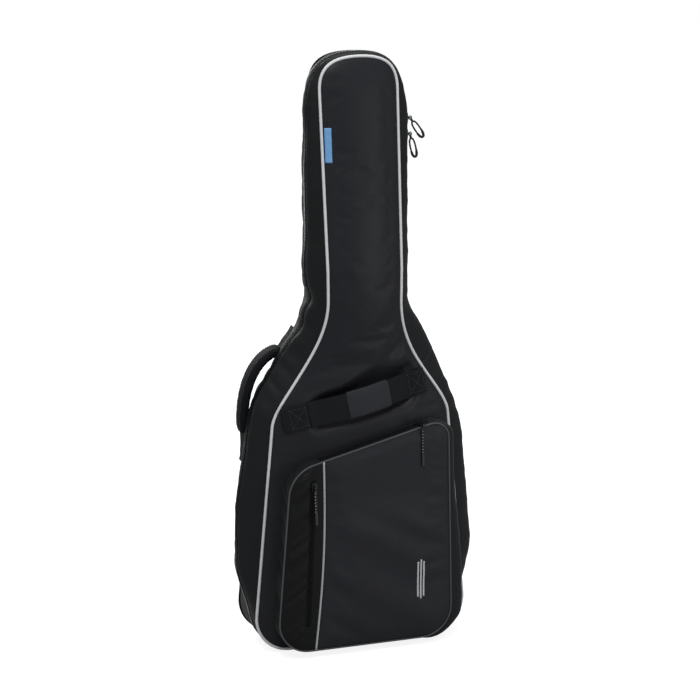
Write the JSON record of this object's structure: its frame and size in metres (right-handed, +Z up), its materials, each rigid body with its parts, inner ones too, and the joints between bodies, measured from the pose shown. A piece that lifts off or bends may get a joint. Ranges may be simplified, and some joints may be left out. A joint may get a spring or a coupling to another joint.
{
  "type": "padded gig bag",
  "caption": "Tall padded soft case for an acoustic guitar, with piped seams, a wrap-round zip, slanted front pocket, webbing and padded handles, and rear shoulder straps.",
  "frame": {"origin": "on the floor, at the centre of the wear patch under the bag", "axes": "+Z up along the neck, the front with the pocket faces -Y, +X to the right of a viewer at the front"},
  "size_m": [0.4354, 0.23, 1.062],
  "materials": {
    "shell": "woven nylon, slightly shiny",
    "gusset": "woven nylon, matt",
    "pocket": "woven nylon, slightly shiny",
    "foam": "closed-cell foam padding",
    "lining": "brushed plush lining",
    "piping": "white extruded piping",
    "grey_piping": "thin grey extruded piping",
    "binding": "black woven binding tape",
    "webbing": "black polypropylene webbing",
    "zip": "black zip tape with nylon coil",
    "metal": "dark plated die casting",
    "cord": "moulded black pull",
    "plastic": "moulded black plastic",
    "patch": "rubberised fabric",
    "tag": "blue woven tape",
    "mark": "plain pale grey print"
  },
  "bodies": {
    "bag_body": {"rear_cover": "shell", "rear_foam": "foam", "rear_lining": "lining", "rear_piping": "binding", "body_gusset": "gusset", "body_gusset_foam": "foam", "hinge_gusset": "gusset", "hinge_gusset_foam": "foam", "zipper_tape_body": "zip", "base_wear_patch": "patch", "handle_tab_upper": "webbing", "handle_tab_lower": "webbing", "strap_anchor_panel": "webbing", "strap_tab_left": "webbing", "strap_tab_right": "webbing", "hang_loop_patch": "webbing", "neck_support": "foam", "neck_strap": "webbing", "head_pad": "foam", "tail_pad": "foam"},
    "front_lid": {"front_cover": "shell", "front_foam": "foam", "front_lining": "lining", "front_piping": "piping", "lid_gusset": "gusset", "lid_gusset_foam": "foam", "zipper_tape_lid": "zip", "bridge_patch": "patch", "label_tag": "tag", "pocket_gusset": "pocket", "pocket_panel_main": "pocket", "pocket_panel_side": "pocket", "pocket_piping": "grey_piping", "pocket_divider_piping": "grey_piping", "pocket_zip_tape": "zip", "side_zip_tape": "zip", "pocket_mark": "mark", "front_handle_end_left": "webbing", "front_handle_end_right": "webbing"},
    "upper_slider": {"zip_slider_upper": "metal"},
    "upper_pull": {"zip_pull_upper": "cord"},
    "lower_slider": {"zip_slider_lower": "metal"},
    "lower_pull": {"zip_pull_lower": "cord"},
    "pocket_slider": {"pocket_zip_slider": "metal"},
    "pocket_cord": {"pocket_zip_cord": "cord"},
    "side_slider": {"side_zip_slider": "metal"},
    "side_cord": {"side_zip_cord": "cord"},
    "front_handle": {"front_handle_webbing": "webbing", "front_handle_wrap": "patch"},
    "side_handle": {"side_handle_grip": "webbing"},
    "left_strap": {"strap_pad_left": "shell", "strap_webbing_left": "webbing", "ladder_lock_left": "plastic"},
    "right_strap": {"strap_pad_right": "shell", "strap_webbing_right": "webbing", "ladder_lock_right": "plastic"},
    "hang_loop": {"hang_loop": "webbing"}
  },
  "joints": [
    {"name": "lid_hinge", "type": "hinge", "parent": "bag_body", "child": "front_lid", "pos_m": [0.2005, -0.052, 0.004], "axis": [-0.0906, 0, 0.9959], "range_deg": [0, 110]},
    {"name": "upper_slider_slide", "type": "slide", "parent": "bag_body", "child": "upper_slider", "axis": [0.0098, 0.0307, 0.9995], "range_m": [0, 0.02]},
    {"name": "upper_pull_hinge", "type": "hinge", "parent": "upper_slider", "child": "upper_pull", "pos_m": [0.10105, -0.01972, 0.94169], "axis": [0, -0.9995, 0.0307], "range_deg": [-10, 52]},
    {"name": "lower_slider_slide", "type": "slide", "parent": "bag_body", "child": "lower_slider", "axis": [-0.0098, -0.0307, -0.9995], "range_m": [0, 0.25]},
    {"name": "lower_pull_hinge", "type": "hinge", "parent": "lower_slider", "child": "lower_pull", "pos_m": [0.10078, -0.02058, 0.91369], "axis": [0, -0.9995, 0.0307], "range_deg": [-9, 12]},
    {"name": "pocket_slider_slide", "type": "slide", "parent": "front_lid", "child": "pocket_slider", "axis": [-0.9699, 0, -0.2433], "range_m": [0, 0.15]},
    {"name": "pocket_cord_hinge", "type": "hinge", "parent": "pocket_slider", "child": "pocket_cord", "pos_m": [0.0962, -0.109, 0.41091], "axis": [-1, 0, 0], "range_deg": [0, 90]},
    {"name": "side_slider_slide", "type": "slide", "parent": "front_lid", "child": "side_slider", "axis": [-0.0459, 0, -0.9989], "range_m": [0, 0.22]},
    {"name": "side_cord_hinge", "type": "hinge", "parent": "side_slider", "child": "side_cord", "pos_m": [-0.10307, -0.1109, 0.318], "axis": [-0.9989, 0, 0.0459], "range_deg": [-4, 85]},
    {"name": "front_handle_swing", "type": "hinge", "parent": "front_lid", "child": "front_handle", "pos_m": [-0.01, -0.0535, 0.457], "axis": [0.9796, 0, 0.2011], "range_deg": [-20, 20]},
    {"name": "side_handle_swing", "type": "hinge", "parent": "bag_body", "child": "side_handle", "pos_m": [-0.1448, 0.016, 0.5393], "axis": [-0.5082, 0, -0.8613], "range_deg": [-8, 50]},
    {"name": "left_strap_swing", "type": "hinge", "parent": "bag_body", "child": "left_strap", "pos_m": [-0.038, 0.056, 0.588], "axis": [0.1984, 0, 0.9801], "range_deg": [-15, 15]},
    {"name": "right_strap_swing", "type": "hinge", "parent": "bag_body", "child": "right_strap", "pos_m": [0.038, 0.056, 0.588], "axis": [0.1984, 0, -0.9801], "range_deg": [-15, 15]},
    {"name": "hang_loop_swing", "type": "hinge", "parent": "bag_body", "child": "hang_loop", "pos_m": [0, 0.0285, 0.96246], "axis": [1, 0, 0], "range_deg": [0, 90]}
  ]
}
